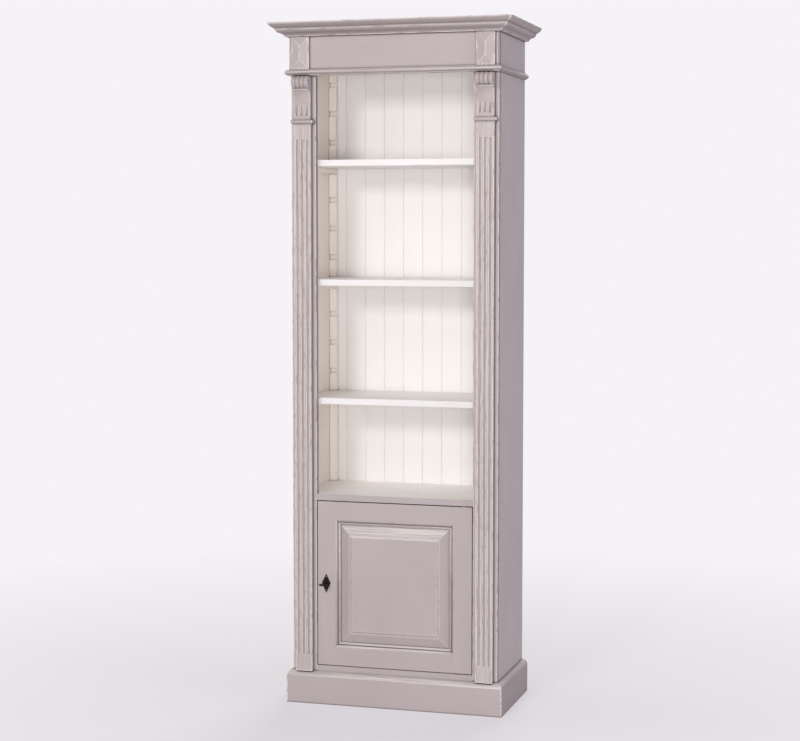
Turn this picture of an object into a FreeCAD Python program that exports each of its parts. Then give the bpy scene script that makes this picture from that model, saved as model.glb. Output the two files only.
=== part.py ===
import FreeCAD, Part
import math
import os

# Narrow bookcase: a tall painted case with an open shelved upper part and a cupboard below.
# Millimetres. Origin at the middle of the footprint, on the floor.
# +X is to the right of someone who faces the bookcase, +Y goes into its depth, +Z is up.

# Overall and carcass
HEIGHT = 2150.0             # floor to the top of the cornice
CARCASS_W = 670.0           # over the two side panels
CARCASS_D = 347.0           # face of the stiles to the rear edges of the side panels
SIDE_T = 18.0               # side panels
BOARD_T = 20.0              # top board, fixed shelf and bottom board
STILE_W = 80.0              # stiles of the face frame
STILE_T = 20.0
CUPBOARD_H = 531.0          # clear height of the cupboard
BASE_REVEAL = 18.0          # edge of the bottom board that shows above the plinth
HOUSING = 8.0               # how deep the boards are housed in the side panels

# Back of tongued and grooved boards
BACK_BOARDS = 10
BACK_T = 14.0
BACK_RECESS = 6.0           # back boards to the rear edges of the side panels
BACK_REBATE = 10.0          # width of the rebate that takes them
TONGUE_L = 5.0
TONGUE_T = 4.0
TONGUE_GAP = 0.6            # room at the bottom of each groove
BACK_CHAMFER = 2.0          # each half of a V groove

# Plinth
PLINTH_H = 104.0
PLINTH_T = 18.0
PLINTH_ROUND_R = 17.0       # rounded top edge

# Frieze, astragal and corner blocks
FRIEZE_H = 120.0
FRIEZE_T = 19.0
ASTRAGAL_H = 18.0
ASTRAGAL_FILLET_H = 3.0
ASTRAGAL_FILLET_OUT = 7.0
BLOCK_W = 59.0
BLOCK_T = 8.0
BLOCK_EDGE = 5.5            # plain border round the pyramid
PYRAMID_H = 8.0
PYRAMID_RIDGE_IN = 27.0     # from the pyramid's ends to its ridge
BLOCK_SHIFT = 2.5           # the block sits a little outside the pilaster's middle

# Cornice, from its lip down
CORNICE_H = 42.0
CORNICE_OUT = 54.0
CORNICE_BACK = 19.0         # how far it reaches in over the frieze and the side panels
LIP_H = 4.0
OVOLO_H = 13.0
OVOLO_OUT = 15.5
STEP_OUT = 1.5
FILLET_H = 5.0
FILLET_IN = 1.0
OGEE_OUT = 24.0
OGEE_TURN_SHARE = 0.48      # place of the ogee's turning point between its ends

# Pilasters and capitals
SHAFT_W = 55.0
SHAFT_T = 16.0
FLUTES = 3
FLUTE_PITCH = 16.2
FLUTE_R = 4.0
FLUTE_AXIS_OUT = 1.4        # flute axis in front of the face that it is cut in
FLUTE_FOOT = 52.0           # plain length below the flutes
FLUTE_HEAD = 44.0           # plain length above them
BEAD_H = 16.0               # neck bead: a half round over a small foot
BEAD_ROUND_H = 12.0
BEAD_FILLET = 3.0
BEAD_FOOT_OUT = 1.5
CAPITAL_H = 137.0           # top of the neck bead to the frieze
CAPITAL_W = 54.0
CAPITAL_FOOT_OUT = 19.0
CAPITAL_WAIST_OUT = 18.0
CAPITAL_WAIST_Z = 42.0      # above the neck bead
CAPITAL_BREAST_OUT = 31.0
CAPITAL_BREAST_Z = 93.0
ROLL_R = 19.5
ROLL_OUT = 27.0             # roll axis in front of the stile
ROLL_DROP = 2.0             # roll below the frieze
REEDS = 4
REED_DEPTH = 3.0
SHORT_FLUTE_R = 3.8
SHORT_FLUTE_FOOT = 11.0     # neck bead to the foot of a short flute
SHORT_FLUTE_L = 44.0
SHORT_FLUTE_AXIS_OUT = 1.4  # flute axis in front of the waist

# Racks, cleats and loose shelves
RACK_W = 26.0
RACK_T = 19.0
NOTCH_PITCH = 94.0
NOTCH_RISE = 266.2          # fixed shelf to the lowest ledge
NOTCH_DEPTH = 10.0
NOTCH_SLACK = 0.7           # above a cleat, at the inner end of a notch
NOTCH_SLOPE = 1.2           # more height at the mouth
NOTCH_MARGIN = 60.0         # least plain length above the top notch
CLEAT_H = 16.2
SHELF_T = 20.0
SHELF_SET_BACK = 14.0       # behind the backs of the stiles
SHELF_GAP = 1.0             # round a loose shelf
SHELVES = ("lower", "middle", "upper")
REST_GAP = 0.3              # between pieces that lie on each other but come apart

# Cupboard door
DOOR_GAP = 2.5              # at each side
DOOR_GAP_Z = 3.0            # above and below
DOOR_T = 20.0
FRAME_W = 58.5              # stiles and rails, without their moulded edge
QUARTER_STEP = 1.0          # moulded edge: a small step, a quarter round and a bead
QUARTER_R = 7.0
BEAD_W = 8.0
BEAD_RISE = 2.5
STICK_FLAT = 1.0            # flat inside the bead
STICK_LIP = 2.0             # wood between the moulded edge and the groove
PANEL_T = 6.5               # edge of the panel, in the grooves
GROOVE_DEPTH = 9.0
PANEL_PLAY = 1.0            # the panel is free to move in the grooves
PANEL_MARGIN = 1.0          # flat round the bevel
BEVEL_W = 27.5
BEVEL_RISE = 7.0
BEVEL_FILLET_W = 3.5
FIELD_STEP = 2.5
FIELD_STEP_W = 6.0
TENON_L = 38.0
TENON_SHOULDER = 10.0
STOP_T = 18.0
STOP_H = 20.0
STOP_END_LEFT = 20.0        # door edge to the end of the stop, at the lock side
STOP_END_RIGHT = 75.0       # hinge axis to the other end

# Pivot hinges
PIVOT_IN = 28.0             # door edge to the pivot axis
PIN_R = 3.0
PIN_PLAY = 0.05
PIN_END_GAP = 1.0
PIN_BITE = 4.0              # pin below the frame plate
COLLAR_R = 5.5
PLATE_T = 2.5
PLATE_W = 13.0
PLATE_REACH = 30.0          # pivot axis to the inner end of a plate
PLATE_HEEL = 14.0           # and to the outer end
SCREW_R = 1.6
SCREW_HEAD_R = 3.3
SCREW_L = 16.0
SCREW_FIRST = 13.0          # pivot axis to the nearer screw
SCREW_PITCH = 10.0
SCREW_HEAD_H = 2.0

# Lock, key and escutcheon
BACKSET = 28.0              # door edge to the key
CASE_W = 44.0
CASE_T = 11.0
CASE_WALL = 1.6
CASE_HEAD = 12.0            # above the key
LOCK_PLAY = 0.4
BOLT_H = 14.0
BOLT_L = 38.0
BOLT_THROW = 9.0
BOLT_DROP = 3.6             # key axis to the top of the bolt
BOLT_RETRACT = 0.5          # bolt end inside the door edge at rest
TALON_W = 13.0
TALON_DEPTH = 5.2
MORTISE_EXTRA = 1.5
SHANK_R = 2.5
TIP_R = 1.5
BIT_R = 8.2
BIT_T = 2.4
KEYHOLE_PLAY = 0.6
KEY_OUT = 46.0              # key in front of the door
BOW_R = 11.0
BOW_WIRE_R = 1.8
KEY_COLLAR_R = 3.6
KEY_COLLAR_L = 3.0
CASE_SCREW_IN = 5.0         # lock screws from the edges of the lock case
CASE_SCREW_L = 7.0
ESCUTCHEON_H = 61.0
ESCUTCHEON_W = 29.0
ESCUTCHEON_T = 1.8
ESCUTCHEON_EDGE = 0.9
ESCUTCHEON_PIN_IN = 9.0
ESCUTCHEON_PIN_R = 1.4
ESCUTCHEON_PIN_L = 7.0

OVERRUN = 10.0              # how far cutters pass a face
QUARTER_BULGE_SHARE = (math.sqrt(2.0) - 1.0) / 2.0    # sagitta of a quarter round over its chord
HALF_BULGE_SHARE = 0.5
SOFT_BULGE_SHARE = 0.12
OGEE_BULGE_SHARE = 0.15
BREAST_BULGE_SHARE = 0.16

# Places that follow from the sizes
Y_BACK = (CARCASS_D + FRIEZE_T + CORNICE_OUT) / 2.0
Y_FACE = Y_BACK - CARCASS_D
Y_FRAME = Y_FACE + STILE_T
Y_LINING = Y_BACK - BACK_RECESS - BACK_T
Y_FRIEZE = Y_FACE - FRIEZE_T
X_OUT = CARCASS_W / 2.0
X_IN = X_OUT - SIDE_T
X_OPEN = X_OUT - STILE_W
X_PILASTER = X_OUT - STILE_W / 2.0
Z_BODY = HEIGHT - CORNICE_H
Z_CUPBOARD = PLINTH_H + BASE_REVEAL
Z_SHELF = Z_CUPBOARD + CUPBOARD_H
Z_BAYS = Z_SHELF + BOARD_T
Z_TOP_UNDER = Z_BODY - BOARD_T
Z_FRIEZE = Z_BODY - FRIEZE_H
Z_BEAD_TOP = Z_FRIEZE - CAPITAL_H
Z_BEAD = Z_BEAD_TOP - BEAD_H
Z_LEDGE = Z_BAYS + NOTCH_RISE
NOTCHES = int((Z_TOP_UNDER - NOTCH_MARGIN - Z_LEDGE) // NOTCH_PITCH) + 1
SHELF_STEP = NOTCHES // len(SHELVES)
STICK_W = QUARTER_R + BEAD_W + STICK_FLAT
STICK_DEPTH = QUARTER_STEP + QUARTER_R + STICK_LIP
DOOR_X = X_OPEN - DOOR_GAP
DOOR_Z0 = Z_CUPBOARD + DOOR_GAP_Z
DOOR_Z1 = Z_SHELF - DOOR_GAP_Z
PIVOT_X = DOOR_X - PIVOT_IN
PIVOT_Y = Y_FACE + DOOR_T / 2.0
KEY_X = BACKSET - DOOR_X
KEY_Z = (DOOR_Z0 + DOOR_Z1) / 2.0
CASE_Y = Y_FACE + DOOR_T - CASE_T
BOLT_Z1 = KEY_Z - BOLT_DROP
BOLT_Z0 = BOLT_Z1 - BOLT_H
BOLT_Y0 = CASE_Y + CASE_WALL + LOCK_PLAY
BOLT_Y1 = Y_FACE + DOOR_T - CASE_WALL - LOCK_PLAY


def vec(x, y, z):
    return FreeCAD.Vector(x, y, z)


UP = vec(0, 0, 1)
INTO = vec(0, 1, 0)
ACROSS = vec(1, 0, 0)


def box(x0, x1, y0, y1, z0, z1):
    return Part.makeBox(x1 - x0, y1 - y0, z1 - z0, vec(x0, y0, z0))


def rod(radius, start, end):
    return Part.makeCylinder(radius, (end - start).Length, start, end - start)


def mirrored(shape):
    """The same piece for the left side."""
    return shape.mirror(vec(0, 0, 0), ACROSS)


def face_of(points, place):
    """A flat face through points, each (a, b), or (a, b, bulge) where an arc leads there.

    The bulge is the arc's height over its chord. It stands to the left of the way there.
    """
    edges = []
    here = points[-1][:2]
    for point in points:
        there = point[:2]
        if len(point) == 3:
            da, db = there[0] - here[0], there[1] - here[1]
            middle = ((here[0] + there[0]) / 2.0 - db * point[2], (here[1] + there[1]) / 2.0 + da * point[2])
            edges.append(Part.Arc(place(*here), place(*middle), place(*there)).toShape())
        else:
            edges.append(Part.makeLine(place(*here), place(*there)))
        here = there
    return Part.Face(Part.Wire(edges))


def plan_prism(points, z0, z1):
    """A prism over an outline in plan."""
    return face_of(points, lambda x, y: vec(x, y, z0)).extrude(UP * (z1 - z0))


def front_strip(profile, y_face, x0, x1):
    """A profile of (out, height) run across the front."""
    return face_of(profile, lambda out, z: vec(x0, y_face - out, z)).extrude(ACROSS * (x1 - x0))


def side_strip(profile, x_face, y0, y1):
    """A profile of (out, height) run along the right side."""
    return face_of(profile, lambda out, z: vec(x_face + out, y0, z)).extrude(INTO * (y1 - y0))


def mitred_set(name, profile, y_face, z0, z1, reach_in, reach_out):
    """A moulding in three pieces that meet in mitres at the front corners."""
    far = reach_out + OVERRUN
    near = reach_in + OVERRUN
    front = front_strip(profile, y_face, -X_OUT - far, X_OUT + far)
    front_zone = [(-X_OUT - far, y_face - far), (X_OUT + far, y_face - far),
                  (X_OUT - near, y_face + near), (near - X_OUT, y_face + near)]
    side = side_strip(profile, X_OUT, y_face - far, Y_BACK)
    side_zone = [(X_OUT + far, y_face - far), (X_OUT + far, Y_BACK),
                 (X_OUT - near, Y_BACK), (X_OUT - near, y_face + near)]
    right = side.common(plan_prism(side_zone, z0, z1))
    return {name + "_front": front.common(plan_prism(front_zone, z0, z1)),
            name + "_right": right,
            name + "_left": mirrored(right)}


def screw(head, direction, length):
    """A countersunk wood screw with its head at the surface."""
    neck = head + direction * SCREW_HEAD_H
    cone = Part.makeCone(SCREW_HEAD_R, SCREW_R, SCREW_HEAD_H, head, direction)
    return cone.fuse(rod(SCREW_R, neck, head + direction * length))


# Carcass

def side_panel():
    panel = box(X_IN, X_OUT, Y_FRAME, Y_BACK, 0, Z_BODY)
    panel = panel.cut(box(X_IN, X_IN + BACK_REBATE, Y_LINING, Y_BACK, 0, Z_BODY))
    for z in (Z_CUPBOARD - BOARD_T, Z_SHELF, Z_TOP_UNDER):
        panel = panel.cut(box(X_IN, X_IN + HOUSING, Y_FRAME, Y_LINING, z, z + BOARD_T))
    return panel


def carcass_board(z):
    """A board housed in the sides, with its front edge flush between the stiles."""
    edge = X_IN + HOUSING
    board = box(-edge, edge, Y_FRAME, Y_LINING, z, z + BOARD_T)
    return board.fuse(box(-X_OPEN, X_OPEN, Y_FACE, Y_FRAME, z, z + BOARD_T))


def face_stile():
    return box(X_OPEN, X_OUT, Y_FACE, Y_FRAME, 0, Z_BODY)


def bolt_mortise():
    """The hole in the left stile that the bolt goes into."""
    depth = BOLT_THROW - BOLT_RETRACT - DOOR_GAP + MORTISE_EXTRA
    return box(-X_OPEN - depth, -X_OPEN, BOLT_Y0 - LOCK_PLAY, BOLT_Y1 + LOCK_PLAY,
               BOLT_Z0 - LOCK_PLAY, BOLT_Z1 + LOCK_PLAY)


def back_board(index):
    """One board of the back: tongue to the right, groove to the left, V edges inside."""
    half = X_IN + BACK_REBATE
    width = 2 * half / BACK_BOARDS
    x0 = index * width - half
    x1 = x0 + width
    y1 = Y_LINING + BACK_T
    z0 = Z_CUPBOARD - BOARD_T
    outline = [(x0 + BACK_CHAMFER, Y_LINING), (x1 - BACK_CHAMFER, Y_LINING), (x1, Y_LINING + BACK_CHAMFER),
               (x1, y1), (x0, y1), (x0, Y_LINING + BACK_CHAMFER)]
    board = plan_prism(outline, z0, Z_BODY)
    tongue_y = y1 - (BACK_T - BACK_CHAMFER + TONGUE_T) / 2.0
    if index < BACK_BOARDS - 1:
        board = board.fuse(box(x1, x1 + TONGUE_L, tongue_y, tongue_y + TONGUE_T, z0, Z_BODY))
    if index > 0:
        groove = TONGUE_L + TONGUE_GAP
        board = board.cut(box(x0, x0 + groove, tongue_y, tongue_y + TONGUE_T, z0, Z_BODY))
    return board


# Mouldings

def plinth_profile():
    return [(0, 0), (0, PLINTH_H), (PLINTH_T - PLINTH_ROUND_R, PLINTH_H),
            (PLINTH_T, PLINTH_H - PLINTH_ROUND_R, QUARTER_BULGE_SHARE), (PLINTH_T, 0)]


def astragal_profile():
    top = Z_FRIEZE + ASTRAGAL_H
    return [(0, Z_FRIEZE), (0, top), (ASTRAGAL_FILLET_OUT, top),
            (ASTRAGAL_FILLET_OUT, top - ASTRAGAL_FILLET_H),
            (ASTRAGAL_FILLET_OUT, Z_FRIEZE + ASTRAGAL_FILLET_H, HALF_BULGE_SHARE),
            (ASTRAGAL_FILLET_OUT, Z_FRIEZE)]


def cornice_profile():
    ovolo_z = HEIGHT - LIP_H - OVOLO_H
    fillet_out = CORNICE_OUT - OVOLO_OUT - STEP_OUT
    ogee_z = ovolo_z - FILLET_H
    ogee_out = fillet_out - FILLET_IN
    turn_out = ogee_out - OGEE_OUT * OGEE_TURN_SHARE
    turn_z = ogee_z - (ogee_z - Z_BODY) * OGEE_TURN_SHARE
    return [(-CORNICE_BACK, Z_BODY), (-CORNICE_BACK, HEIGHT), (CORNICE_OUT, HEIGHT),
            (CORNICE_OUT, HEIGHT - LIP_H), (CORNICE_OUT - OVOLO_OUT, ovolo_z, SOFT_BULGE_SHARE),
            (fillet_out, ovolo_z), (fillet_out, ogee_z), (ogee_out, ogee_z),
            (turn_out, turn_z, OGEE_BULGE_SHARE), (ogee_out - OGEE_OUT, Z_BODY, -OGEE_BULGE_SHARE)]


def corner_block():
    """A block on the frieze over each pilaster, with a raised hip on its face."""
    middle = X_PILASTER + BLOCK_SHIFT
    x0, x1 = middle - BLOCK_W / 2.0, middle + BLOCK_W / 2.0
    z0, z1 = Z_FRIEZE + ASTRAGAL_H, Z_BODY
    y = Y_FRIEZE - BLOCK_T
    block = box(x0, x1, y, Y_FRIEZE, z0, z1)
    corners = [vec(x0 + BLOCK_EDGE, y, z0 + BLOCK_EDGE), vec(x1 - BLOCK_EDGE, y, z0 + BLOCK_EDGE),
               vec(x1 - BLOCK_EDGE, y, z1 - BLOCK_EDGE), vec(x0 + BLOCK_EDGE, y, z1 - BLOCK_EDGE)]
    low = vec(middle, y - PYRAMID_H, z0 + BLOCK_EDGE + PYRAMID_RIDGE_IN)
    high = vec(middle, y - PYRAMID_H, z1 - BLOCK_EDGE - PYRAMID_RIDGE_IN)
    rims = [corners, [corners[0], corners[1], low], [corners[1], corners[2], high, low],
            [corners[2], corners[3], high], [corners[3], corners[0], low, high]]
    faces = [Part.Face(Part.makePolygon(rim + rim[:1])) for rim in rims]
    return block.fuse(Part.Solid(Part.Shell(faces)))


# Pilasters

def flute_places():
    return [X_PILASTER + (index - (FLUTES - 1) / 2.0) * FLUTE_PITCH for index in range(FLUTES)]


def round_ended(radius, low, high):
    """The cutter of a flute, with a ball at each end."""
    return rod(radius, low, high).fuse([Part.makeSphere(radius, low), Part.makeSphere(radius, high)])


def pilaster():
    """A flat shaft with round-bottomed flutes, glued to the stile."""
    x0, x1 = X_PILASTER - SHAFT_W / 2.0, X_PILASTER + SHAFT_W / 2.0
    shaft = box(x0, x1, Y_FACE - SHAFT_T, Y_FACE, PLINTH_H, Z_BEAD)
    y = Y_FACE - SHAFT_T - FLUTE_AXIS_OUT
    for x in flute_places():
        low = vec(x, y, PLINTH_H + FLUTE_FOOT + FLUTE_R)
        high = vec(x, y, Z_BEAD - FLUTE_HEAD - FLUTE_R)
        shaft = shaft.cut(round_ended(FLUTE_R, low, high))
    return shaft


def neck_bead():
    """A half round with a square root over a small foot, returned round the shaft's sides."""
    front_out, front_foot = SHAFT_T + BEAD_FILLET, SHAFT_T + BEAD_FOOT_OUT
    side_out, side_foot = SHAFT_W / 2.0 + BEAD_FILLET, SHAFT_W / 2.0 + BEAD_FOOT_OUT
    z = Z_BEAD_TOP - BEAD_ROUND_H
    front = [(0, Z_BEAD), (0, Z_BEAD_TOP), (front_out, Z_BEAD_TOP), (front_out, z, HALF_BULGE_SHARE),
             (front_foot, z), (front_foot, Z_BEAD)]
    sides = [(-side_foot, Z_BEAD), (-side_foot, z), (-side_out, z), (-side_out, Z_BEAD_TOP, HALF_BULGE_SHARE),
             (side_out, Z_BEAD_TOP), (side_out, z, HALF_BULGE_SHARE), (side_foot, z), (side_foot, Z_BEAD)]
    reach = side_out + BEAD_H
    across = front_strip(front, Y_FACE, X_PILASTER - reach, X_PILASTER + reach)
    return across.common(side_strip(sides, X_PILASTER, Y_FACE - front_out - BEAD_H, Y_FACE))


def reeded_roll(x0, x1):
    """The roll at the head of a capital, turned with reeds side by side."""
    pitch = (x1 - x0) / REEDS
    root = ROLL_R - REED_DEPTH
    points = [(x0, 0), (x0, root)]
    for index in range(REEDS):
        points.append((x0 + (index + 1) * pitch, root, REED_DEPTH / pitch))
    points.append((x1, 0))
    y = Y_FACE - ROLL_OUT
    z = Z_FRIEZE - ROLL_DROP - ROLL_R
    turned = face_of(points, lambda x, r: vec(x, y, z + r))
    return turned.revolve(vec(0, y, z), ACROSS, 360)


def capital():
    """A console with a reeded roll over a hollow breast and three short flutes."""
    x0, x1 = X_PILASTER - CAPITAL_W / 2.0, X_PILASTER + CAPITAL_W / 2.0
    waist = Z_BEAD_TOP + CAPITAL_WAIST_Z
    breast = Z_BEAD_TOP + CAPITAL_BREAST_Z
    profile = [(0, Z_BEAD_TOP), (0, Z_FRIEZE), (CAPITAL_WAIST_OUT, Z_FRIEZE),
               (ROLL_OUT, Z_FRIEZE - ROLL_DROP - ROLL_R), (CAPITAL_BREAST_OUT, breast),
               (CAPITAL_WAIST_OUT, waist, -BREAST_BULGE_SHARE), (CAPITAL_FOOT_OUT, Z_BEAD_TOP)]
    body = front_strip(profile, Y_FACE, x0, x1)
    y = Y_FACE - CAPITAL_WAIST_OUT - SHORT_FLUTE_AXIS_OUT
    for x in flute_places():
        low = vec(x, y, Z_BEAD_TOP + SHORT_FLUTE_FOOT + SHORT_FLUTE_R)
        high = vec(x, y, Z_BEAD_TOP + SHORT_FLUTE_FOOT + SHORT_FLUTE_L - SHORT_FLUTE_R)
        body = body.cut(round_ended(SHORT_FLUTE_R, low, high))
    return body.fuse(reeded_roll(x0, x1)).fuse(neck_bead())


# Racks, cleats and loose shelves

def rack(y_wall, inward):
    """A notched upright against y_wall, with its notches on the inward side."""
    mouth = y_wall + inward * RACK_T
    end = mouth - inward * NOTCH_DEPTH
    upright = box(X_IN - RACK_W, X_IN, min(y_wall, mouth), max(y_wall, mouth), Z_BAYS, Z_TOP_UNDER)
    for index in range(NOTCHES):
        ledge = Z_LEDGE + index * NOTCH_PITCH
        top = ledge + REST_GAP + CLEAT_H + NOTCH_SLACK
        outline = [(mouth, ledge), (end, ledge), (end, top), (mouth, top + NOTCH_SLOPE)]
        notch = face_of(outline, lambda y, z: vec(X_IN - RACK_W, y, z)).extrude(ACROSS * RACK_W)
        upright = upright.cut(notch)
    return upright


def cleat(index):
    """A bar that lies in a notch of the front rack and of the rear rack."""
    z = Z_LEDGE + index * NOTCH_PITCH + REST_GAP
    y0 = Y_FRAME + RACK_T - NOTCH_DEPTH + REST_GAP
    y1 = Y_LINING - RACK_T + NOTCH_DEPTH - REST_GAP
    return box(X_IN - RACK_W, X_IN - REST_GAP, y0, y1, z, z + CLEAT_H)


def loose_shelf(index):
    """A shelf cut round the four racks, on two cleats."""
    z = Z_LEDGE + index * NOTCH_PITCH + CLEAT_H + 2 * REST_GAP
    edge = X_IN - SHELF_GAP
    rack_edge = X_IN - RACK_W - SHELF_GAP
    y0, y1 = Y_FRAME + SHELF_SET_BACK, Y_LINING - SHELF_GAP
    front = Y_FRAME + RACK_T + SHELF_GAP
    rear = Y_LINING - RACK_T - SHELF_GAP
    shelf = box(-edge, edge, y0, y1, z, z + SHELF_T)
    for x0, x1 in ((-X_IN, -rack_edge), (rack_edge, X_IN)):
        for cut_y0, cut_y1 in ((Y_FRAME, front), (rear, Y_LINING)):
            shelf = shelf.cut(box(x0, x1, cut_y0, cut_y1, z, z + SHELF_T))
    return shelf


# Door

def door_frame():
    """Stiles and rails in one ring: moulded inner edge, then a groove for the panel."""
    frame = box(-DOOR_X, DOOR_X, Y_FACE, Y_FACE + DOOR_T, DOOR_Z0, DOOR_Z1)
    sight = FRAME_W + STICK_W
    frame = frame.cut(box(sight - DOOR_X, DOOR_X - sight, Y_FACE, Y_FACE + DOOR_T,
                          DOOR_Z0 + sight, DOOR_Z1 - sight))
    groove = sight - GROOVE_DEPTH
    frame = frame.cut(box(groove - DOOR_X, DOOR_X - groove, Y_FACE + STICK_DEPTH,
                          Y_FACE + STICK_DEPTH + PANEL_T, DOOR_Z0 + groove, DOOR_Z1 - groove))
    return frame.cut(mitred_waste(stick_waste(), STICK_W + OVERRUN))


def stick_waste():
    """What a cutter takes off for the moulded edge, as (in from the edge, out of the face)."""
    deep = QUARTER_STEP + QUARTER_R
    return [(0, OVERRUN), (0, -QUARTER_STEP), (QUARTER_R, -deep, QUARTER_BULGE_SHARE),
            (QUARTER_R + BEAD_W, -deep, BEAD_RISE / BEAD_W), (STICK_W + OVERRUN, -deep),
            (STICK_W + OVERRUN, OVERRUN)]


def panel_waste():
    """What a cutter takes off in front of the panel: margin, bevel, fillet and small step."""
    tongue = -STICK_DEPTH
    crown = tongue + BEVEL_RISE
    bevel = STICK_W + PANEL_MARGIN
    step = bevel + BEVEL_W + BEVEL_FILLET_W
    return [(0, OVERRUN), (0, tongue), (bevel, tongue), (bevel + BEVEL_W, crown), (step, crown),
            (step + FIELD_STEP_W, crown + FIELD_STEP), (step + FIELD_STEP_W, OVERRUN)]


def mitred_waste(profile, reach):
    """Bars of waste along the four inner edges of the door's frame, mitred at their ends."""
    half_w = DOOR_X - FRAME_W
    half_h = (DOOR_Z1 - DOOR_Z0) / 2.0 - FRAME_W
    bars = []
    for axis, along, half, run in ((ACROSS, UP, half_w, half_h), (UP, ACROSS, half_h, half_w)):
        for sign in (-1, 1):
            edge = vec(0, Y_FACE, KEY_Z) + axis * (sign * half)
            bar = face_of(profile, lambda a, b: edge - axis * (sign * a) - along * run - INTO * b)
            mitres = [(-run, 0), (run, 0), (run - reach, reach), (reach - run, reach)]
            zone = face_of(mitres, lambda a, b: edge + along * a - axis * (sign * b) - INTO * OVERRUN)
            bars.append(bar.extrude(along * (2 * run)).common(zone.extrude(INTO * (OVERRUN + DOOR_T))))
    return bars


def door_quarters():
    """Plan zones that part the ring of the door into stiles and rails, as (stile, rail)."""
    x0, x1 = DOOR_X - FRAME_W, DOOR_X - FRAME_W - STICK_W
    z0, z1 = DOOR_Z0 + FRAME_W, DOOR_Z1 - FRAME_W

    def slab(points):
        face = face_of(points, lambda x, z: vec(x, Y_FACE - OVERRUN, z))
        return face.extrude(INTO * (DOOR_T + 2 * OVERRUN))

    stile = slab([(x0, DOOR_Z0), (DOOR_X, DOOR_Z0), (DOOR_X, DOOR_Z1), (x0, DOOR_Z1),
                  (x0, z1), (x1, z1 - STICK_W), (x1, z0 + STICK_W), (x0, z0)])
    bottom_rail = slab([(-x0, DOOR_Z0), (x0, DOOR_Z0), (x0, z0), (x1, z0 + STICK_W),
                        (-x1, z0 + STICK_W), (-x0, z0)])
    top_rail = slab([(-x0, DOOR_Z1), (x0, DOOR_Z1), (x0, z1), (x1, z1 - STICK_W),
                     (-x1, z1 - STICK_W), (-x0, z1)])
    return stile, bottom_rail, top_rail


def tenon(side, z0):
    """A tenon at one end of a rail, in line with the panel groove."""
    x0 = DOOR_X - FRAME_W
    ends = sorted((side * x0, side * (x0 + TENON_L)))
    return box(ends[0], ends[1], Y_FACE + STICK_DEPTH, Y_FACE + STICK_DEPTH + PANEL_T,
               z0, z0 + FRAME_W - 2 * TENON_SHOULDER)


def door_panel():
    """A raised panel: thin edge in the grooves, bevel, fillet, small step and flat field."""
    edge = FRAME_W + STICK_W - GROOVE_DEPTH + PANEL_PLAY
    field_y = Y_FACE + STICK_DEPTH - BEVEL_RISE - FIELD_STEP
    slab = box(edge - DOOR_X, DOOR_X - edge, field_y, Y_FACE + STICK_DEPTH + PANEL_T,
               DOOR_Z0 + edge, DOOR_Z1 - edge)
    reach = STICK_W + PANEL_MARGIN + BEVEL_W + BEVEL_FILLET_W + FIELD_STEP_W
    return slab.cut(mitred_waste(panel_waste(), reach))


def door_stop():
    """A strip under the fixed shelf that the closed door meets."""
    y0 = Y_FACE + DOOR_T + REST_GAP
    return box(STOP_END_LEFT - DOOR_X, PIVOT_X - STOP_END_RIGHT, y0, y0 + STOP_T,
               Z_SHELF - STOP_H, Z_SHELF)


# Pivot hinges

def hinge_plate(z0):
    return box(PIVOT_X - PLATE_REACH, PIVOT_X + PLATE_HEEL, PIVOT_Y - PLATE_W / 2.0,
               PIVOT_Y + PLATE_W / 2.0, z0, z0 + PLATE_T)


def plate_screws(z, way):
    """Two screws through a plate whose outer face is at z, driven up (1) or down (-1)."""
    return [screw(vec(PIVOT_X - SCREW_FIRST - index * SCREW_PITCH, PIVOT_Y, z), UP * way, SCREW_L)
            for index in range(2)]


def frame_hinge(z, way):
    """Plate let into the carcass, with its face at z and its body on the way side."""
    plate = hinge_plate(min(z, z + way * PLATE_T))
    depth = PLATE_T + PIN_BITE + PIN_END_GAP
    hole = rod(PIN_R + PIN_PLAY, vec(PIVOT_X, PIVOT_Y, z), vec(PIVOT_X, PIVOT_Y, z + way * depth))
    return plate, hole, plate_screws(z, way)


def door_hinge(z, way):
    """Plate let into a door end at z, with the collar and pin that stand out of it."""
    plate = hinge_plate(min(z, z + way * PLATE_T))
    foot = vec(PIVOT_X, PIVOT_Y, z)
    collar = rod(COLLAR_R, foot, foot - UP * (way * (DOOR_GAP_Z - REST_GAP)))
    pin = rod(PIN_R, foot, foot - UP * (way * (DOOR_GAP_Z + PLATE_T + PIN_BITE)))
    return plate, collar.fuse(pin), plate_screws(z, way)


# Lock, key and escutcheon

def keyhole(radius, y0, y1):
    """A round hole with a slot below it, cut along the key."""
    half = BIT_T / 2.0 + KEYHOLE_PLAY
    hole = rod(radius, vec(KEY_X, y0, KEY_Z), vec(KEY_X, y1, KEY_Z))
    return hole.fuse(box(KEY_X - half, KEY_X + half, y0, y1, KEY_Z - BIT_R - KEYHOLE_PLAY, KEY_Z))


def case_block(inset):
    """The lock case, or its hollow where inset is the wall."""
    bottom = BOLT_Z0 - LOCK_PLAY - CASE_WALL
    return box(inset - DOOR_X, CASE_W - inset - DOOR_X, CASE_Y + inset, Y_FACE + DOOR_T - inset,
               bottom + inset, KEY_Z + CASE_HEAD - inset)


def case_screws():
    """Two screws through the top of the case's back, into the stile."""
    bottom = BOLT_Z0 - LOCK_PLAY - CASE_WALL - CASE_SCREW_IN
    top = KEY_Z + CASE_HEAD + CASE_SCREW_IN
    x = CASE_W / 2.0 - DOOR_X
    return [screw(vec(x, Y_FACE + DOOR_T, z), -INTO, CASE_SCREW_L) for z in (bottom, top)]


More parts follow.
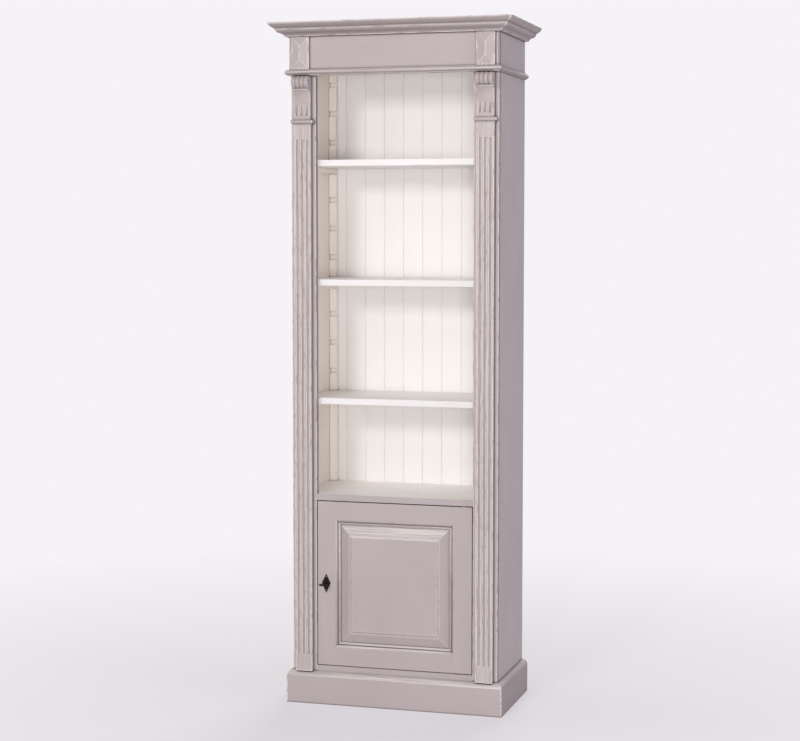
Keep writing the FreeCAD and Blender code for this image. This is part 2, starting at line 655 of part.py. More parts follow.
def lock_case():
    """A closed case with ears for its screws, let into the back of the door."""
    ear_reach = 2 * CASE_SCREW_IN
    bottom = BOLT_Z0 - LOCK_PLAY - CASE_WALL - ear_reach
    top = KEY_Z + CASE_HEAD + ear_reach
    y1 = Y_FACE + DOOR_T
    ears = box(-DOOR_X, CASE_W - DOOR_X, y1 - CASE_WALL, y1, bottom, top)
    return case_block(0).fuse(ears)


def case_hollow():
    slot = box(-DOOR_X, CASE_WALL - DOOR_X, BOLT_Y0 - LOCK_PLAY, BOLT_Y1 + LOCK_PLAY,
               BOLT_Z0 - LOCK_PLAY, BOLT_Z1 + LOCK_PLAY)
    front = keyhole(SHANK_R + PIN_PLAY, CASE_Y, CASE_Y + CASE_WALL)
    back = rod(TIP_R + PIN_PLAY, vec(KEY_X, Y_FACE + DOOR_T - CASE_WALL, KEY_Z),
               vec(KEY_X, Y_FACE + DOOR_T, KEY_Z))
    return case_block(CASE_WALL).fuse([slot, front, back])


def lock_bolt():
    """A bar with a gap in its top edge, the talon, that the key's bit sweeps."""
    x0 = BOLT_RETRACT - DOOR_X
    bar = box(x0, x0 + BOLT_L, BOLT_Y0, BOLT_Y1, BOLT_Z0, BOLT_Z1)
    middle = KEY_X + BOLT_THROW / 2.0
    return bar.cut(box(middle - TALON_W / 2.0, middle + TALON_W / 2.0, BOLT_Y0, BOLT_Y1,
                       BOLT_Z1 - TALON_DEPTH, BOLT_Z1))


def key():
    """An old pattern key, turned a quarter from the way it goes in: ring bow, shank and bit."""
    y_bow = Y_FACE - KEY_OUT + BOW_R + BOW_WIRE_R
    y_neck = y_bow + BOW_R
    y_inside = Y_FACE + DOOR_T - CASE_WALL - LOCK_PLAY
    y_end = Y_FACE + DOOR_T
    bow = Part.makeTorus(BOW_R, BOW_WIRE_R, vec(KEY_X, y_bow, KEY_Z), UP)
    collar = rod(KEY_COLLAR_R, vec(KEY_X, y_neck, KEY_Z), vec(KEY_X, y_neck + KEY_COLLAR_L, KEY_Z))
    shank = rod(SHANK_R, vec(KEY_X, y_neck, KEY_Z), vec(KEY_X, y_inside, KEY_Z))
    tip = rod(TIP_R, vec(KEY_X, y_inside, KEY_Z), vec(KEY_X, y_end, KEY_Z))
    bit = box(KEY_X, KEY_X + BIT_R, BOLT_Y0, BOLT_Y1, KEY_Z - BIT_T / 2.0, KEY_Z + BIT_T / 2.0)
    return shank.fuse([bow, collar, tip, bit])


def escutcheon():
    """A lozenge plate with a bevelled edge and a keyhole."""
    def lozenge(inset, y):
        slope = math.hypot(ESCUTCHEON_H, ESCUTCHEON_W)
        half_w = ESCUTCHEON_W / 2.0 - inset * slope / ESCUTCHEON_H
        half_h = ESCUTCHEON_H / 2.0 - inset * slope / ESCUTCHEON_W
        tips = [vec(KEY_X + half_w, y, KEY_Z), vec(KEY_X, y, KEY_Z + half_h),
                vec(KEY_X - half_w, y, KEY_Z), vec(KEY_X, y, KEY_Z - half_h)]
        return Part.makePolygon(tips + tips[:1])

    front = Y_FACE - ESCUTCHEON_T
    plate = Part.makeLoft([lozenge(0, Y_FACE), lozenge(0, front + ESCUTCHEON_EDGE),
                           lozenge(ESCUTCHEON_EDGE, front)], True, True)
    return plate.cut(keyhole(SHANK_R + KEYHOLE_PLAY, front, Y_FACE))


def escutcheon_pins():
    pins = []
    for sign in (-1, 1):
        at = vec(KEY_X, Y_FACE - ESCUTCHEON_T, KEY_Z + sign * (ESCUTCHEON_H / 2.0 - ESCUTCHEON_PIN_IN))
        dome = Part.makeSphere(ESCUTCHEON_PIN_R, at, -INTO, 0, 90)
        pins.append(dome.fuse(rod(ESCUTCHEON_PIN_R / 2.0, at, at + INTO * ESCUTCHEON_PIN_L)))
    return pins


# Putting it together

def carcass_parts():
    parts = {"bottom_board": carcass_board(Z_CUPBOARD - BOARD_T),
             "fixed_shelf": carcass_board(Z_SHELF),
             "top_board": carcass_board(Z_TOP_UNDER),
             "frieze_board": box(-X_OUT, X_OUT, Y_FRIEZE, Y_FACE, Z_FRIEZE, Z_BODY),
             "door_stop": door_stop()}
    pairs = {"side_panel": side_panel(), "face_stile": face_stile(), "corner_block": corner_block(),
             "pilaster": pilaster(), "capital": capital(),
             "rack_front": rack(Y_FRAME, 1), "rack_rear": rack(Y_LINING, -1)}
    for name, shape in pairs.items():
        parts[name + "_right"] = shape
        parts[name + "_left"] = mirrored(shape)
    parts["face_stile_left"] = parts["face_stile_left"].cut(bolt_mortise())
    for index in range(BACK_BOARDS):
        parts["back_board_%02d" % (index + 1)] = back_board(index)
    parts.update(mitred_set("plinth", plinth_profile(), Y_FACE, 0, PLINTH_H, 0, PLINTH_T))
    parts.update(mitred_set("astragal", astragal_profile(), Y_FRIEZE, Z_FRIEZE, Z_FRIEZE + ASTRAGAL_H,
                            0, ASTRAGAL_FILLET_OUT + ASTRAGAL_H))
    parts.update(mitred_set("cornice", cornice_profile(), Y_FRIEZE, Z_BODY, HEIGHT,
                            CORNICE_BACK, CORNICE_OUT))
    lower = frame_hinge(Z_CUPBOARD, -1)
    upper = frame_hinge(Z_SHELF, 1)
    for board, (plate, hole, screws) in (("bottom_board", lower), ("fixed_shelf", upper)):
        parts[board] = parts[board].cut([plate, hole] + screws)
    plates = [plate.cut([hole] + screws) for plate, hole, screws in (lower, upper)]
    parts["hinge_plates_frame"] = Part.makeCompound(plates)
    parts["hinge_screws_frame"] = Part.makeCompound(lower[2] + upper[2])
    return parts


def door_parts():
    frame = door_frame()
    stile, bottom_rail, top_rail = (frame.common(zone) for zone in door_quarters())
    tenon_z = (DOOR_Z0 + TENON_SHOULDER, DOOR_Z1 - FRAME_W + TENON_SHOULDER)
    tenons = [[tenon(side, z) for side in (-1, 1)] for z in tenon_z]
    every_tenon = tenons[0] + tenons[1]
    lower = door_hinge(DOOR_Z0, 1)
    upper = door_hinge(DOOR_Z1, -1)
    hinge_cuts = [lower[0], upper[0]] + lower[2] + upper[2]
    case = lock_case()
    screws, pins = case_screws(), escutcheon_pins()
    y_wood = (Y_FACE, CASE_Y)
    lock_cuts = [case, keyhole(SHANK_R + KEYHOLE_PLAY, *y_wood)] + screws + pins
    return {"door_stile_left": mirrored(stile).cut(every_tenon + lock_cuts),
            "door_stile_right": stile.cut(every_tenon + hinge_cuts),
            "door_rail_bottom": bottom_rail.fuse(tenons[0]).cut(lower[2]),
            "door_rail_top": top_rail.fuse(tenons[1]).cut(upper[2]),
            "door_panel": door_panel(),
            "hinge_plates_door": Part.makeCompound([plate.cut(screws_of).fuse(pin)
                                                    for plate, pin, screws_of in (lower, upper)]),
            "lock_case": case.cut(case_hollow()).cut(screws),
            "door_screws": Part.makeCompound(lower[2] + upper[2] + screws + pins),
            "escutcheon": escutcheon().cut(pins),
            "lock_bolt": lock_bolt(),
            "key": key()}


def shelf_parts():
    parts = {}
    for index, name in enumerate(SHELVES):
        bar = cleat(index * SHELF_STEP)
        parts["shelf_" + name] = loose_shelf(index * SHELF_STEP)
        parts["cleat_%s_right" % name] = bar
        parts["cleat_%s_left" % name] = mirrored(bar)
    return parts


def main():
    os.makedirs("parts", exist_ok=True)
    parts = {**carcass_parts(), **door_parts(), **shelf_parts()}
    for name, shape in sorted(parts.items()):
        shape.exportStep("parts/%s.step" % name)
        bounds = shape.BoundBox
        print("%-20s solids %d volume %.1f cm3 valid %s  x %.1f %.1f  y %.1f %.1f  z %.1f %.1f" % (
            name, len(shape.Solids), shape.Volume / 1000, shape.isValid(), bounds.XMin, bounds.XMax,
            bounds.YMin, bounds.YMax, bounds.ZMin, bounds.ZMax))
    print(len(parts), "nodes")


main()
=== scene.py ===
import math
import bpy
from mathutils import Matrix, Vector


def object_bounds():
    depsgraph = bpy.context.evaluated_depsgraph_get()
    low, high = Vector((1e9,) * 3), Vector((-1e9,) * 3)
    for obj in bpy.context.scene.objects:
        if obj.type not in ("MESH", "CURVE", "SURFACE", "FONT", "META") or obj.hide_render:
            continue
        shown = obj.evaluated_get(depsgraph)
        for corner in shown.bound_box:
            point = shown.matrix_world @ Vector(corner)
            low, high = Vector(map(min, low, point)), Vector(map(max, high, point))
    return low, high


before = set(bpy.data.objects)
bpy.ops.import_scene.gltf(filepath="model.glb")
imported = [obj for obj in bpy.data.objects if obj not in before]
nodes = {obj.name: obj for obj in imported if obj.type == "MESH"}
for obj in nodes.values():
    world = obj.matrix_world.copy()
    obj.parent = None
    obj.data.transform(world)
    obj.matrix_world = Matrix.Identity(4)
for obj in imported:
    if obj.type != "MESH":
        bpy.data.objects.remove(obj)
cad_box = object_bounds()
scene = bpy.context.scene

# Sizes in metres, angles in degrees
MM = 0.001

# Camera, solved from the edges of the bookcase in the 800 x 741 photograph
IMAGE_W_PX = 800
FOCAL_PX = 1886.6
SENSOR_W_MM = 36.0
CAMERA_PLACE = (1.690, -5.757, 1.515)
CAMERA_YAW = 16.55
CAMERA_PITCH_DOWN = 4.33

# Arrises are eased with sandpaper
EASED = 0.8 * MM
EASED_FLUSH = 0.2 * MM      # where two pieces are flush
EASE_SEGMENTS = 2
SHARP_ANGLE = 24.0          # least turn between faces that counts as an arris
FLAT_ANGLE = 0.5            # faces that turn less are one face
SAME_POINT = 0.001 * MM     # points that lie closer are one point


def linear(code):
    """An sRGB hex colour as linear RGBA."""
    parts = [int(code[i:i + 2], 16) / 255.0 for i in (1, 3, 5)]
    return [p / 12.92 if p <= 0.04045 else ((p + 0.055) / 1.055) ** 2.4 for p in parts] + [1.0]


def add(tree, kind, inputs=None, **settings):
    """Adds a node. Its inputs are values or other nodes' outputs, by name or number."""
    node = tree.nodes.new("ShaderNode" + kind)
    for name, value in settings.items():
        setattr(node, name, value)
    for key, value in (inputs or {}).items():
        if isinstance(value, bpy.types.NodeSocket):
            tree.links.new(value, node.inputs[key])
        else:
            node.inputs[key].default_value = value
    return node


def mixed(tree, factor, first, second):
    """First where factor is 0, second where it is 1."""
    return add(tree, "Mix", {0: factor, 6: first, 7: second}, data_type="RGBA").outputs[2]


def ramped(tree, value, low, high, to_low=0.0, to_high=1.0):
    """Goes from to_low to to_high as value goes from low to high, and stays there beyond."""
    return add(tree, "MapRange", {0: value, 1: low, 2: high, 3: to_low, 4: to_high}, clamp=True).outputs[0]


def sums(tree, operation, first, second):
    """One step of arithmetic on two numbers."""
    return add(tree, "Math", {0: first, 1: second}, operation=operation).outputs[0]


def grain(tree, across, along, axis, detail=3.0, roughness=0.55, distortion=0.0):
    """Noise drawn out along an axis, with the width and length of its streaks in metres."""
    place = add(tree, "TexCoord").outputs["Object"]
    scale = [1.0 / across] * 3
    scale["xyz".index(axis)] = 1.0 / along
    stretched = add(tree, "VectorMath", {0: place, 1: scale}, operation="MULTIPLY").outputs[0]
    noise = add(tree, "TexNoise", {"Vector": stretched, "Scale": 1.0, "Detail": detail,
                                   "Roughness": roughness, "Distortion": distortion})
    return noise.outputs[0]


# Where things lie on a piece. A range gives the values between which a mask goes from 0 to 1, and, where it
# has four numbers, the values that it takes there.

LOOKS_ALONG = (0.45, 0.55)          # share of a normal along an axis
LOOKS_BACK = (-0.45, -0.55)         # the same against it
LEANS = (0.995, 0.985)              # share of a normal towards the front or the rear
LOOKS_UP = (0.01, 0.05)             # share of a normal upwards, on mouldings
OPEN_EDGE = (0.84, 0.95)            # open sky over an outer edge
ARRIS_SPREAD = 7.0                  # 1 - cosine of a full arris, over that where the rubbing begins
SHADE_SAMPLES = 8                   # rays for open sky and for turns


def own_normal(tree, axis):
    """How much the piece's own surface looks along an axis, from -1 to 1."""
    normal = add(tree, "TexCoord").outputs["Normal"]
    return add(tree, "SeparateXYZ", {0: normal}).outputs["xyz".index(axis)]


def facing(tree, axis, sign):
    """1 where the surface looks along an axis."""
    return ramped(tree, sums(tree, "MULTIPLY", own_normal(tree, axis), sign), *LOOKS_ALONG)


def inward(tree):
    """1 where a side of the case looks into it."""
    place = add(tree, "TexCoord").outputs["Object"]
    side = sums(tree, "SIGN", add(tree, "SeparateXYZ", {0: place}).outputs[0], 0.0)
    return ramped(tree, sums(tree, "MULTIPLY", own_normal(tree, "x"), side), *LOOKS_BACK)


def open_sky(tree, reach):
    """1 where nothing stands within reach of a surface, about a half in an inner corner."""
    return add(tree, "AmbientOcclusion", {"Distance": reach}, samples=SHADE_SAMPLES).outputs["AO"]


def arrises(tree, width, least):
    """1 on outer edges, sharp and shallow: the surface turns there and nothing stands over it."""
    turned = add(tree, "Bevel", {"Radius": width}, samples=SHADE_SAMPLES).outputs[0]
    plain = add(tree, "NewGeometry").outputs["Normal"]
    alike = add(tree, "VectorMath", {0: turned, 1: plain}, operation="DOT_PRODUCT").outputs["Value"]
    turns = ramped(tree, alike, 1.0 - (1.0 - least) / ARRIS_SPREAD, least)
    return sums(tree, "MULTIPLY", turns, ramped(tree, open_sky(tree, 2 * width), *OPEN_EDGE))


# Chalk paint. A coat has its shade, the two tones that it wanders between, what shows where it is rubbed,
# and the colours of the painted shade in its corners and in its gaps. The outside is taupe. Inside, the
# boards are ivory, the sides, racks and cleats a warmer ivory that paints the warm shade inside the case, and
# the loose shelves white.

# The last two colours of each coat are painted shade, for corners and for gaps.
TAUPE = {"shade": "#BBB0B1", "pale": "#C1B7B7", "deep": "#B4A9A8", "rubbed": "#ECE6E1",
         "hollow": "#66574F", "gap": "#181311"}
IVORY = {"shade": "#FCFAF7", "pale": "#FDFCFA", "deep": "#FAF7F3", "rubbed": "#FDFCFA",
         "hollow": "#E0D0C2", "gap": "#EBE0D6"}
# A warmer copy of the ivory: painted warm shade on the sides, racks and cleats inside the case.
IVORY_IN_WARM_SHADE = {"shade": "#FAF2EA", "pale": "#FBF6F0", "deep": "#F6ECE2", "rubbed": "#FCFAF8",
         "hollow": "#BFA28A", "gap": "#8E7A6A"}
WHITE = {"shade": "#F3F2F2", "pale": "#F6F5F4", "deep": "#F0EEED", "rubbed": "#F8F7F6",
         "hollow": "#D9CEC6", "gap": "#4A3E37"}
CHALKY = 0.68               # roughness of chalk paint
SATIN = 0.30                # roughness of shelves and floors, which have a coat that can be wiped
PAINT_IOR = 1.48

BRUSH_W = 1.6 * MM          # bristle marks, drawn as coarse as they need to show
BRUSH_L = 130 * MM
BRUSH_RELIEF = 0.05 * MM
BRISTLES = (0.3, 0.7, 0.35, 0.95)
CLOUD = 140 * MM            # slow drift of the tone, twice as long as it is wide
CLOUDS = (0.35, 0.65)
RUB_W = 4.6 * MM            # how far from an arris the paint is rubbed
ARRIS = 0.978               # cosine of the turn that counts as a full arris
SHALLOW_ARRIS = 0.993       # the same on the corner blocks' flat hips
RUB_PATCH_W = 9 * MM        # the rubbing comes and goes in patches
RUB_PATCH_L = 34 * MM
RUB_PATCH_DETAIL = 5.0
RUB_PATCH_FROM = 0.6        # noise at which a patch begins, with no wear
RUB_PATCH_EDGE = 0.06       # rise of the noise over which it is full
RUB_PATCH_WEAR = 0.2        # how much earlier it begins with full wear
HOLLOW_REACH = 7 * MM       # how near a corner's other side has to be
HOLLOWS = (0.95, 0.5)       # open sky where the painted corner shade begins and where it is full
GAP_FROM = 0.6              # open sky where a gap's painted shade begins
GAP_FROM_MOULDED = 0.52
GAP_FALL = 0.26             # fall of open sky over which it is full
STROKE_W = 3 * MM           # pale dry-brush strokes, kept to faces that look up: also a painted highlight
STROKE_L = 160 * MM
STROKES = (0.36, 0.62, 0.0, 0.7)
SIDE_SHADE = 0.34                # painted shade: how much brown darkens faces that look down or aside
SIDE_SHADE_STILE = 0.6
SIDE_SHADE_CAPITAL = 0.1
SIDE_SHADE_RANGE = (0.05, 0.6)     # how far a face looks down or aside


def coat(tree, tones, axis):
    """A brushed coat: slow clouds of tone and fine bristle marks along the wood."""
    clouds = ramped(tree, grain(tree, CLOUD, CLOUD * 2, axis), *CLOUDS)
    colour = mixed(tree, clouds, linear(tones["deep"]), linear(tones["pale"]))
    bristles = ramped(tree, grain(tree, BRUSH_W, BRUSH_L, axis), *BRISTLES)
    return mixed(tree, bristles, colour, linear(tones["shade"]))


def worn_and_shaded(tree, colour, tones, axis, wear, corner_shade, least=ARRIS, gap_from=GAP_FROM):
    """Painted shade in the corners, darker painted shade in the gaps, and paint rubbed through along the
    arrises.
    """
    sky = open_sky(tree, HOLLOW_REACH)
    # Painted shade: darker where a corner's other side stands near.
    shaded_corners = sums(tree, "MULTIPLY", ramped(tree, sky, *HOLLOWS), corner_shade)
    colour = mixed(tree, shaded_corners, colour, linear(tones["hollow"]))
    # Painted shade: a gap's own dark colour where little open sky is left.
    colour = mixed(tree, ramped(tree, sky, gap_from, gap_from - GAP_FALL), colour, linear(tones["gap"]))
    patchy = grain(tree, RUB_PATCH_W, RUB_PATCH_L, axis, detail=RUB_PATCH_DETAIL)
    begins = RUB_PATCH_FROM - RUB_PATCH_WEAR * wear
    patches = ramped(tree, patchy, begins, begins + RUB_PATCH_EDGE)
    edges = sums(tree, "MULTIPLY", arrises(tree, RUB_W, least), patches)
    return mixed(tree, sums(tree, "MULTIPLY", edges, wear), colour, linear(tones["rubbed"]))


def painted_side_shade(tree, colour, amount):
    """Painted shade: brown on the faces that look down or to a side."""
    away = sums(tree, "ABSOLUTE", own_normal(tree, "x"), 0.0)
    away = sums(tree, "SUBTRACT", away, own_normal(tree, "z"))
    return mixed(tree, ramped(tree, away, *SIDE_SHADE_RANGE, 0.0, amount), colour, linear(TAUPE["hollow"]))


def surface(material, colour, relief, height, roughness, **shader):
    """Ends a material: a principled shader with a bump of the given height in metres."""
    tree = material.node_tree
    bump = add(tree, "Bump", {"Strength": 1.0, "Distance": height, "Height": relief})
    inputs = {"Base Color": colour, "Roughness": roughness, "Normal": bump.outputs[0], **shader}
    principled = add(tree, "BsdfPrincipled", inputs)
    out = add(tree, "OutputMaterial")
    tree.links.new(principled.outputs[0], out.inputs[0])


def new_material(name):
    material = bpy.data.materials.new(name)
    material.use_nodes = True
    material.node_tree.nodes.clear()
    return material


def painted(name, tones, axis, wear=0.0, corner_shade=0.2, second=None, where=None, least=ARRIS, roughness=CHALKY,
            shade_aside=0.0):
    """Paint on pine, a little uneven, with painted shade in corners and gaps and real wear on the arrises.
    Second is another coat, which shows where a mask is 1.
    """
    material = new_material(name)
    tree = material.node_tree
    colour = coat(tree, tones, axis)
    # Painted shade on faces that look down or aside.
    if shade_aside:
        colour = painted_side_shade(tree, colour, shade_aside)
    colour = worn_and_shaded(tree, colour, tones, axis, wear, corner_shade, least)
    if second:
        colour = mixed(tree, where(tree), colour, second(tree, axis))
    surface(material, colour, grain(tree, BRUSH_W, BRUSH_L, axis), BRUSH_RELIEF, roughness, IOR=PAINT_IOR)
    return material


# Limed wood: paint wiped off again with the grain, with lime left in the pores

LIMED_W = 2.4 * MM          # streaks of the grain, drawn as coarse as they need to show
LIMED_L = 120 * MM
LIMED_STREAKS = (0.38, 0.62)
LIMED_RELIEF = 0.16 * MM
LIMED_PATCH = 260 * MM      # the wiping is stronger and weaker in patches
LIMED_PATCHES = (0.35, 0.6, 0.35, 1.0)
DASH_W = 2.6 * MM           # pale dashes where the lime has caught
DASH_L = 22 * MM
DASHES = (0.68, 0.74, 0.0, 0.6)
LIMED_ROUGHNESS = 0.66
LIMED_TONES = ("#B6ABA9", "#D3CAC8")
LIME = "#EFE9E5"


def limed(name):
    """Taupe paint wiped along the grain of a fluted shaft, with lime in the pores and on the arrises."""
    material = new_material(name)
    tree = material.node_tree
    streaks = grain(tree, LIMED_W, LIMED_L, "z", detail=4.0, roughness=0.65)
    wiped = mixed(tree, ramped(tree, streaks, *LIMED_STREAKS), linear(LIMED_TONES[0]), linear(LIMED_TONES[1]))
    patch = ramped(tree, grain(tree, LIMED_PATCH, LIMED_PATCH * 2, "z"), *LIMED_PATCHES)
    colour = mixed(tree, patch, coat(tree, TAUPE, "z"), wiped)
    dashes = ramped(tree, grain(tree, DASH_W, DASH_L, "z", detail=2.0), *DASHES)
    colour = mixed(tree, dashes, colour, linear(LIME))
    # Painted shade on faces that look down or aside, and in corners and gaps.
    colour = worn_and_shaded(tree, painted_side_shade(tree, colour, SIDE_SHADE), TAUPE, "z", wear=0.95, corner_shade=0.55)
    surface(material, colour, streaks, LIMED_RELIEF, LIMED_ROUGHNESS, IOR=PAINT_IOR)
    return material


# Raw pine, on the faces that nobody sees in use

PINE_PALE = "#E3CCA4"
PINE_DARK = "#CDAB78"
KNOT = "#7A4D2A"
RING_W = 13 * MM
RING_L = 600 * MM
RINGS = (0.38, 0.7)
RING_WAVE = 0.6             # distortion of the rings
BOARD_DRIFT = 0.08          # how far a board's rings may differ in tone from the mean
FIBRE_W = 1.6 * MM
FIBRE_L = 90 * MM
FIBRES = (0.35, 0.65, 0.0, 0.4)
KNOT_PITCH = 210 * MM
KNOTS = (0.06, 0.03)        # radii of a knot and of its dark middle, as shares of the pitch


def pine(tree, axis):
    """Planed pine: broad rings drawn out along the board, fine fibres, a few knots, no two boards alike."""
    board = add(tree, "ObjectInfo").outputs["Random"]
    rings = sums(tree, "ADD", grain(tree, RING_W, RING_L, axis, detail=2.0, distortion=RING_WAVE),
                 ramped(tree, board, 0.0, 1.0, -BOARD_DRIFT, BOARD_DRIFT))
    colour = mixed(tree, ramped(tree, rings, *RINGS), linear(PINE_PALE), linear(PINE_DARK))
    fibres = ramped(tree, grain(tree, FIBRE_W, FIBRE_L, axis), *FIBRES)
    colour = mixed(tree, fibres, colour, linear(PINE_PALE))
    place = add(tree, "TexCoord").outputs["Object"]
    spots = add(tree, "TexVoronoi", {"Vector": place, "Scale": 1.0 / KNOT_PITCH})
    return mixed(tree, ramped(tree, spots.outputs["Distance"], *KNOTS), colour, linear(KNOT))


# Painted warm shade: the warmer copy of the ivory.
def warm_shaded_ivory(tree, axis):
    return coat(tree, IVORY_IN_WARM_SHADE, axis)


def taupe(tree, axis):
    return coat(tree, TAUPE, axis)


def moulded(tree, axis):
    """Taupe on mouldings: pale strokes where they look up (painted highlight), brown where they look down or
    aside (painted shade).
    """
    up = own_normal(tree, "z")
    strokes_and_highlight = ramped(tree, grain(tree, STROKE_W, STROKE_L, "x", detail=4.0), *STROKES)
    # Kept to faces that look up, the strokes are also a painted highlight from above.
    strokes_and_highlight = sums(tree, "MULTIPLY", strokes_and_highlight, ramped(tree, up, *LOOKS_UP))
    colour = mixed(tree, strokes_and_highlight, coat(tree, TAUPE, axis), linear(TAUPE["rubbed"]))
    # Painted shade on faces that look down or aside, and in corners and gaps.
    return worn_and_shaded(tree, painted_side_shade(tree, colour, SIDE_SHADE), TAUPE, axis, wear=1.0, corner_shade=0.6, gap_from=GAP_FROM_MOULDED)


def leaning(tree):
    """1 where a surface leans away from the plain front."""
    return ramped(tree, sums(tree, "ABSOLUTE", own_normal(tree, "y"), 0.0), *LEANS)


def rear(tree):
    """1 where a surface looks to the rear."""
    return facing(tree, "y", 1)


def front(tree):
    """1 where a surface looks to the front."""
    return facing(tree, "y", -1)


def top(tree):
    """1 where a surface looks up."""
    return facing(tree, "z", 1)


# The amounts for corners and for faces that look aside are painted shade.
taupe_up = painted("taupe_chalk_paint_upright", TAUPE, "z", wear=0.9, corner_shade=0.85, shade_aside=SIDE_SHADE_CAPITAL)
taupe_across = painted("taupe_chalk_paint_across", TAUPE, "x", wear=0.8, corner_shade=0.85)
taupe_deep = painted("taupe_chalk_paint_deep", TAUPE, "y", wear=0.7, corner_shade=0.8, shade_aside=SIDE_SHADE)
block_paint = painted("taupe_chalk_paint_well_rubbed", TAUPE, "z", wear=0.85, corner_shade=0.85, least=SHALLOW_ARRIS)
panel_paint = painted("taupe_panel_with_mouldings", TAUPE, "z", wear=1.0, corner_shade=0.85,
                      second=moulded, where=leaning)
door_paint_up = painted("taupe_door_with_mouldings_upright", TAUPE, "z", corner_shade=0.85,
                        second=moulded, where=leaning)
door_paint_across = painted("taupe_door_with_mouldings_across", TAUPE, "x", corner_shade=0.85,
                            second=moulded, where=leaning)
moulding_paint = painted("taupe_mouldings_across", TAUPE, "x", wear=0.9, corner_shade=0.85,
                         second=moulded, where=leaning)
limed_shaft = limed("limed_taupe_paint")
# Warmer ivory inside the case, which paints its warm shade.
warm_shaded_ivory_up = painted("ivory_chalk_paint_warm_shade_upright", IVORY_IN_WARM_SHADE, "z", corner_shade=0.5)
warm_shaded_ivory_deep = painted("ivory_chalk_paint_warm_shade_deep", IVORY_IN_WARM_SHADE, "y")
white_across = painted("white_satin_paint_across", WHITE, "x", roughness=SATIN)
side_paint = painted("taupe_outside_warm_shaded_ivory_inside", TAUPE, "z", wear=0.5, corner_shade=0.6, second=warm_shaded_ivory, where=inward)
stile_paint = painted("taupe_stile_warm_shaded_ivory_back", TAUPE, "z", wear=0.9, corner_shade=0.85, second=warm_shaded_ivory, where=rear,
                      shade_aside=SIDE_SHADE_STILE)
board_paint = painted("ivory_board_taupe_edge", IVORY, "x", second=taupe, where=front, roughness=SATIN)
back_paint = painted("ivory_boards_raw_pine_rear", IVORY, "z", corner_shade=0.12, second=pine, where=rear)
top_paint = painted("ivory_board_raw_pine_top", IVORY, "x", second=pine, where=top)


def metal(name, code, grain_w, grain_l, relief, roughness):
    """Bare metal with a fine grain."""
    material = new_material(name)
    streaks = grain(material.node_tree, grain_w, grain_l, "z")
    surface(material, linear(code), streaks, relief, roughness, Metallic=1.0)
    return material


iron = metal("blackened_iron", "#2A2523", grain_w=1 * MM, grain_l=1 * MM, relief=0.05 * MM, roughness=0.42)
zinc = metal("zinc_plated_steel", "#A3A29C", grain_w=0.4 * MM, grain_l=20 * MM, relief=0.01 * MM,
             roughness=0.35)

# By the beginning of a node's name
FINISHES = {
    "cornice_front": moulding_paint, "astragal_front": moulding_paint, "plinth_front": moulding_paint,
    "cornice": taupe_deep, "astragal": taupe_deep, "plinth": taupe_deep,
    "frieze_board": taupe_across, "corner_block": block_paint, "capital": taupe_up, "pilaster": limed_shaft,
    "side_panel": side_paint, "face_stile": stile_paint, "back_board": back_paint, "top_board": top_paint,
    "fixed_shelf": board_paint, "bottom_board": board_paint,
    "shelf": white_across, "cleat": warm_shaded_ivory_deep, "rack": warm_shaded_ivory_up,
    "door_stile": door_paint_up, "door_rail": door_paint_across, "door_panel": panel_paint,
    "door_stop": warm_shaded_ivory_deep, "door_screws": zinc, "hinge": zinc, "lock": zinc,
    "escutcheon": iron, "key": iron}


def finish_of(name):
    """The finish with the longest name that this node's name starts with."""
    return FINISHES[max((key for key in FINISHES if name.startswith(key)), key=len)]


def ease(piece, width):
    """Rounds the arrises of a CAD node a little, as sanding does."""
    weld = piece.modifiers.new("weld", "WELD")
    weld.merge_threshold = SAME_POINT
    flat = piece.modifiers.new("flat", "DECIMATE")
    flat.decimate_type = "DISSOLVE"
    flat.angle_limit = math.radians(FLAT_ANGLE)
    bevel = piece.modifiers.new("ease", "BEVEL")
    bevel.width = width
    bevel.segments = EASE_SEGMENTS
    bevel.limit_method = "ANGLE"
    bevel.angle_limit = math.radians(SHARP_ANGLE)
    bevel.harden_normals = True


FINE_PIECES = ("key", "escutcheon", "hinge", "door_screws", "lock", "cleat")     # these keep their edges
FLUSH_PIECES = ("door_stile", "door_rail")      # their joints are sanded flush and painted over
for name, piece in nodes.items():
    piece.data.materials.clear()
    piece.data.materials.append(finish_of(name))
    if not name.startswith(FINE_PIECES):
        ease(piece, EASED_FLUSH if name.startswith(FLUSH_PIECES) else EASED)


# Stage, light and camera

BACKDROP = "#F6F3F8"
FLOOR = "#DDDADF"
FLOOR_R = 30.0
FLOOR_SIDES = 96
FADE_FROM = 0.4             # metres from the middle
FADE_TO = 3.0
FADE_LEAST = 0.5            # how much of the backdrop's colour the floor has beside the bookcase
AMBIENT = 0.16              # brightness of the surround as a light
AMBIENT_TINT = "#FFECCE"

# Lamps: azimuth, elevation, distance, diameter, brightness on a white card that faces them, and tint
LAMPS = {
    "key_lamp": (-8, 18, 7.0, 1.4, 0.26, "#FFFDFF"),
    "low_lamp": (17, 1, 7.0, 1.6, 0.30, "#FFFDFF"),
    "high_lamp": (-8, 38, 6.0, 1.6, 0.08, "#FFFDFF"),
    "front_left_lamp": (-30, 14, 6.0, 1.2, 0.04, "#FFFDFF"),
    "right_lamp": (75, 8, 4.5, 2.0, 0.31, "#E4EAFF"),
    "left_lamp": (-95, 8, 4.5, 2.0, 0.26, "#F2F4FF"),
    "rear_lamp": (180, 35, 5.5, 2.4, 0.55, "#FFFDFD")}


def shown(tree):
    """1 for what the camera sees, also in metal."""
    path = add(tree, "LightPath").outputs
    reflected = sums(tree, "MAXIMUM", path["Is Glossy Ray"], path["Is Transmission Ray"])
    return sums(tree, "MAXIMUM", path["Is Camera Ray"], reflected)


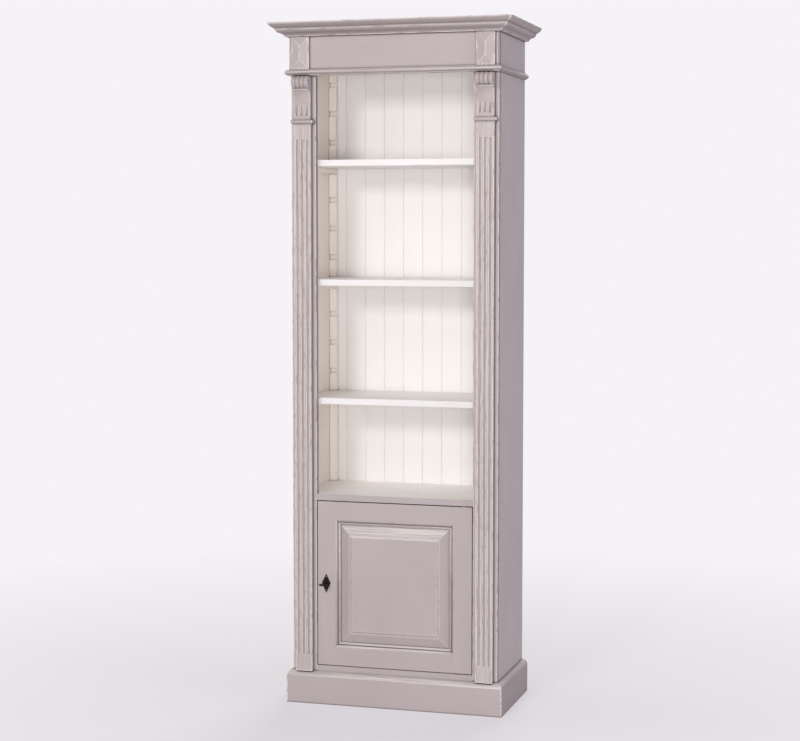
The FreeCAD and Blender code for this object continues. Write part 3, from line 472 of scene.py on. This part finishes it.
def studio_floor():
    """A pale floor that fades into the backdrop's colour away from the bookcase."""
    bpy.ops.mesh.primitive_circle_add(vertices=FLOOR_SIDES, radius=FLOOR_R, fill_type="NGON")
    floor = bpy.context.object
    floor.name = "studio_floor"
    material = new_material("pale_floor")
    tree = material.node_tree
    matt = add(tree, "BsdfDiffuse", {"Color": linear(FLOOR)})
    glow = add(tree, "Emission", {"Color": linear(BACKDROP), "Strength": 1.0})
    distance = add(tree, "VectorMath", {0: add(tree, "TexCoord").outputs["Object"]}, operation="LENGTH")
    far = ramped(tree, distance.outputs["Value"], FADE_FROM, FADE_TO, FADE_LEAST)
    mix = add(tree, "MixShader", {0: sums(tree, "MULTIPLY", far, shown(tree)), 1: matt.outputs[0],
                                  2: glow.outputs[0]})
    out = add(tree, "OutputMaterial")
    tree.links.new(mix.outputs[0], out.inputs[0])
    floor.data.materials.append(material)


def studio_world():
    """An even pale surround, seen as the plain backdrop."""
    world = bpy.data.worlds.new("studio")
    scene.world = world
    world.use_nodes = True
    tree = world.node_tree
    tree.nodes.clear()
    light = add(tree, "Background", {"Color": linear(AMBIENT_TINT), "Strength": AMBIENT})
    backdrop = add(tree, "Background", {"Color": linear(BACKDROP), "Strength": 1.0})
    mix = add(tree, "MixShader", {0: shown(tree), 1: light.outputs[0], 2: backdrop.outputs[0]})
    out = add(tree, "OutputWorld")
    tree.links.new(mix.outputs[0], out.inputs[0])


def lamp(name, azimuth, elevation, distance, size, brightness, tint):
    """A soft lamp that looks at the middle of the bookcase."""
    data = bpy.data.lights.new(name, "AREA")
    data.shape = "DISK"
    data.size = size
    data.energy = brightness * (math.pi * distance) ** 2      # watts that give a white card this brightness
    data.color = linear(tint)[:3]
    made = bpy.data.objects.new(name, data)
    scene.collection.objects.link(made)
    middle = (cad_box[0] + cad_box[1]) / 2
    a, e = math.radians(azimuth), math.radians(elevation)
    back = Vector((math.sin(a) * math.cos(e), -math.cos(a) * math.cos(e), math.sin(e)))
    made.location = middle + back * distance
    made.rotation_euler = back.to_track_quat("Z", "Y").to_euler()


def photo_camera():
    data = bpy.data.cameras.new("camera")
    data.sensor_width = SENSOR_W_MM
    data.lens = FOCAL_PX / IMAGE_W_PX * SENSOR_W_MM
    camera = bpy.data.objects.new("camera", data)
    scene.collection.objects.link(camera)
    camera.location = CAMERA_PLACE
    camera.rotation_euler = (math.radians(90.0 - CAMERA_PITCH_DOWN), 0.0, math.radians(CAMERA_YAW))
    scene.camera = camera


studio_floor()
studio_world()
for name, settings in LAMPS.items():
    lamp(name, *settings)
photo_camera()
scene.view_settings.view_transform = "Standard"
